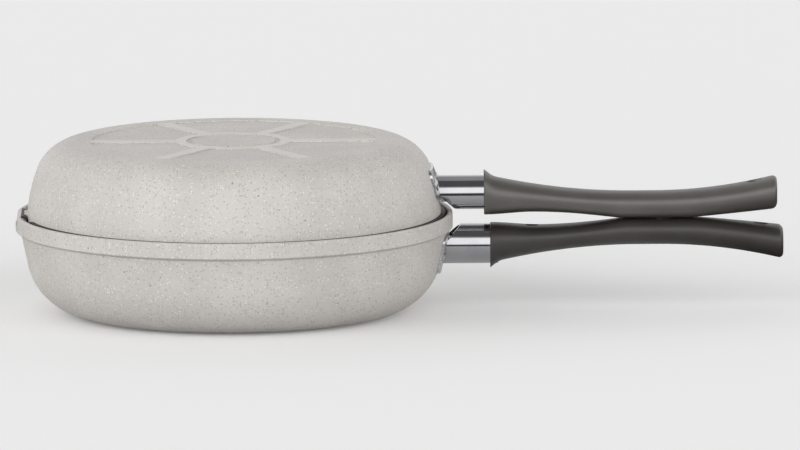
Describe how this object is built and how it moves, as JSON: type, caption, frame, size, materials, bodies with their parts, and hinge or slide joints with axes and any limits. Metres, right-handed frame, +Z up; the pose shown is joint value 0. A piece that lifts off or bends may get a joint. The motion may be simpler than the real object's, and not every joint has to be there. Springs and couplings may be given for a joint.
{
  "type": "double sided flip pan",
  "caption": "Two round frying pans of unequal depth hinged rim to rim, with a seal between them and one arched handle each, closed by magnets.",
  "frame": {"origin": "centre of the deep pan's base, on the plane that it stands on", "axes": "+Z up through both pans, +X from the pans along the handles, +Y to the side"},
  "size_m": [0.4776, 0.272, 0.107],
  "materials": {
    "stone_coating": "cast aluminium under a satin speckled stone-effect coating",
    "chrome": "polished",
    "bright_steel": "bright",
    "steel": "zinc plated",
    "black_steel": "black zinc plated",
    "magnet": "nickel plated",
    "phenolic": "satin phenolic resin",
    "silicone": "matte silicone"
  },
  "bodies": {
    "deep_half": {"deep_pan": "stone_coating", "hinge_pin": "steel", "hinge_pin_clip": "steel", "deep_bracket": "bright_steel", "deep_rivets": "bright_steel", "deep_ferrule": "chrome", "deep_grip": "phenolic", "deep_grip_screw": "steel", "deep_screw_washer": "steel", "deep_magnet": "magnet", "deep_magnet_cup": "black_steel"},
    "shallow_half": {"shallow_pan": "stone_coating", "rim_seal": "silicone", "shallow_bracket": "bright_steel", "shallow_rivets": "bright_steel", "shallow_ferrule": "chrome", "shallow_grip": "phenolic", "shallow_grip_screw": "steel", "shallow_screw_washer": "steel", "shallow_magnet": "magnet", "shallow_magnet_cup": "black_steel"}
  },
  "joints": [
    {"name": "lid_hinge", "type": "hinge", "parent": "deep_half", "child": "shallow_half", "pos_m": [-0.1316, 0, 0.0591], "axis": [0, -1, 0], "range_deg": [0, 105]}
  ]
}
